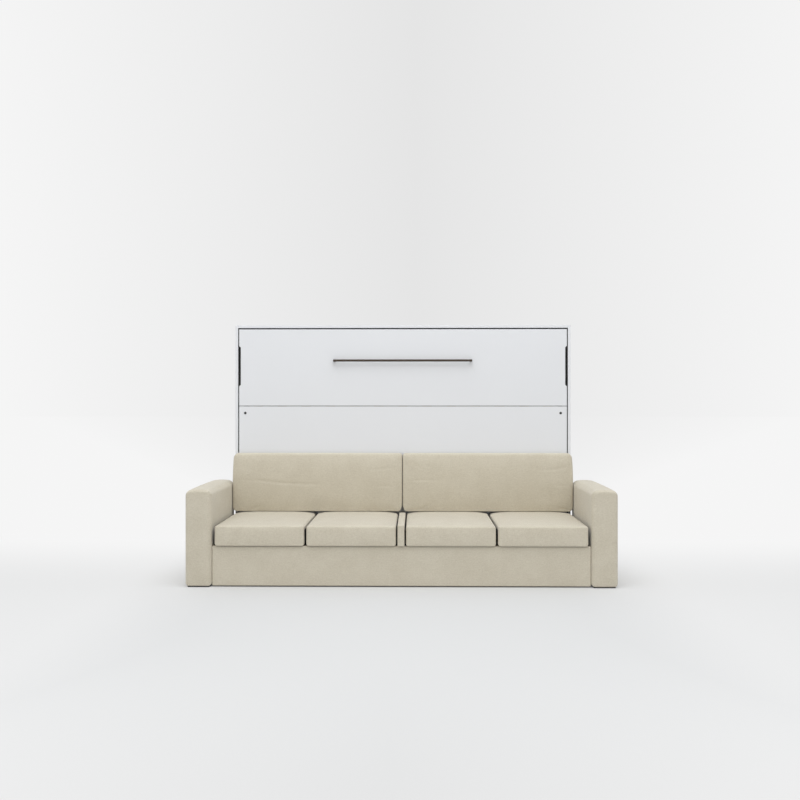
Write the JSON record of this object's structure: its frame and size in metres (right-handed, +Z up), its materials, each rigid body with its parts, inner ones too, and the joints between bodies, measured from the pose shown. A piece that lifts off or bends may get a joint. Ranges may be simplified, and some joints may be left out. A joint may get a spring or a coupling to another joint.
{
  "type": "wall bed with sofa",
  "caption": "Horizontal wall bed folded into a low white cabinet behind a beige fabric sofa with box arms; its upper panel becomes the bed's leg when it opens.",
  "frame": {"origin": "on the floor, under the middle of the whole object", "axes": "+X along the bed, to the right seen from the front; +Y into the wall; +Z up"},
  "size_m": [2.422, 1.18, 1.521],
  "materials": {
    "white_lacquer": "satin",
    "white_board": "matte",
    "beige_linen": "matte",
    "mattress_fabric": "matte",
    "black_webbing": "matte",
    "dark_bronze": "satin",
    "steel": "satin",
    "frame_paint": "satin",
    "black_plastic": "matte",
    "rubber": "matte",
    "pine": "matte",
    "beech": "satin"
  },
  "bodies": {
    "root": {"cabinet_side_left": "white_lacquer", "cabinet_side_right": "white_lacquer", "cabinet_top": "white_lacquer", "cabinet_bottom": "white_board", "plinth_panel": "white_lacquer", "back_panel": "white_board", "upper_wall_rail": "white_board", "pivot_plate_left": "steel", "pivot_plate_right": "steel", "spring_anchor_left": "steel", "spring_anchor_right": "steel", "closing_stop_left": "rubber", "closing_stop_right": "rubber", "arm_left": "beige_linen", "arm_right": "beige_linen", "arm_frame_left": "pine", "arm_frame_right": "pine", "seat_front_rail": "beige_linen", "seat_side_rail_left": "pine", "seat_side_rail_right": "pine", "seat_beam_left": "pine", "seat_beam_centre": "pine", "seat_beam_right": "pine", "seat_deck": "pine", "seat_cushion_1": "beige_linen", "seat_cushion_2": "beige_linen", "seat_cushion_3": "beige_linen", "seat_cushion_4": "beige_linen", "filler_cushion": "beige_linen"},
    "bed": {"lower_door_panel": "white_lacquer", "door_batten_left": "pine", "door_batten_right": "pine", "door_bolt_left": "black_plastic", "door_bolt_right": "black_plastic", "bed_rail_left": "frame_paint", "bed_rail_right": "frame_paint", "bed_rail_top": "frame_paint", "bed_rail_bottom": "frame_paint", "bed_centre_beam": "frame_paint", "slatted_base": "beech", "mattress": "mattress_fabric", "mattress_strap_left": "black_webbing", "mattress_strap_right": "black_webbing", "bed_hinge_plate_left": "steel", "bed_hinge_plate_right": "steel", "flap_hinge_bed_leaf": "steel"},
    "leg_panel": {"upper_door_panel": "white_lacquer", "flap_hinge_panel_leaf": "steel", "handle_bar": "dark_bronze", "handle_post_left": "dark_bronze", "handle_post_right": "dark_bronze", "side_grip_left": "black_plastic", "side_grip_right": "black_plastic", "leg_edge_strip": "black_plastic"},
    "back_cushion_left": {"back_cushion_left": "beige_linen"},
    "back_cushion_right": {"back_cushion_right": "beige_linen"},
    "gas_cylinder_left": {"gas_cylinder_left": "frame_paint"},
    "gas_cylinder_right": {"gas_cylinder_right": "frame_paint"},
    "gas_rod_left": {"gas_rod_left": "steel"},
    "gas_rod_right": {"gas_rod_right": "steel"}
  },
  "joints": [
    {"name": "bed_tilt", "type": "hinge", "parent": "root", "child": "bed", "pos_m": [0, 0.19, 0.5062], "axis": [1, 0, 0], "range_deg": [0, 90]},
    {"name": "leg_panel_swing", "type": "hinge", "parent": "bed", "child": "leg_panel", "pos_m": [0, 0.1631, 1.4895], "axis": [1, 0, 0], "range_deg": [-90, 0]},
    {"name": "back_cushion_left_tip", "type": "hinge", "parent": "root", "child": "back_cushion_left", "pos_m": [-0.5315, 0.0467, 0.3564], "axis": [1, 0, 0], "range_deg": [0, 90]},
    {"name": "back_cushion_right_tip", "type": "hinge", "parent": "root", "child": "back_cushion_right", "pos_m": [0.5315, 0.0467, 0.3564], "axis": [1, 0, 0], "range_deg": [0, 90]},
    {"name": "gas_cylinder_left_turn", "type": "hinge", "parent": "root", "child": "gas_cylinder_left", "pos_m": [-1.02475, 0.28, 0.7992], "axis": [1, 0, 0], "range_deg": [0, 12.21]},
    {"name": "gas_rod_left_slide", "type": "slide", "parent": "gas_cylinder_left", "child": "gas_rod_left", "axis": [0, -0.1754, -0.9845], "range_m": [-0.1261, 0]},
    {"name": "gas_cylinder_right_turn", "type": "hinge", "parent": "root", "child": "gas_cylinder_right", "pos_m": [1.02475, 0.28, 0.7992], "axis": [1, 0, 0], "range_deg": [0, 12.21]},
    {"name": "gas_rod_right_slide", "type": "slide", "parent": "gas_cylinder_right", "child": "gas_rod_right", "axis": [0, -0.1754, -0.9845], "range_m": [-0.1261, 0]}
  ],
  "couplings": [
    {"joint": "leg_panel_swing", "follows": "bed_tilt", "ratio": -1},
    {"joint": "back_cushion_left_tip", "follows": "bed_tilt", "ratio": 1},
    {"joint": "back_cushion_right_tip", "follows": "bed_tilt", "ratio": 1},
    {"joint": "gas_cylinder_left_turn", "follows": "bed_tilt", "ratio": 0.13553},
    {"joint": "gas_rod_left_slide", "follows": "bed_tilt", "m_per_rad": -0.080216},
    {"joint": "gas_cylinder_right_turn", "follows": "bed_tilt", "ratio": 0.13553},
    {"joint": "gas_rod_right_slide", "follows": "bed_tilt", "m_per_rad": -0.080216}
  ]
}
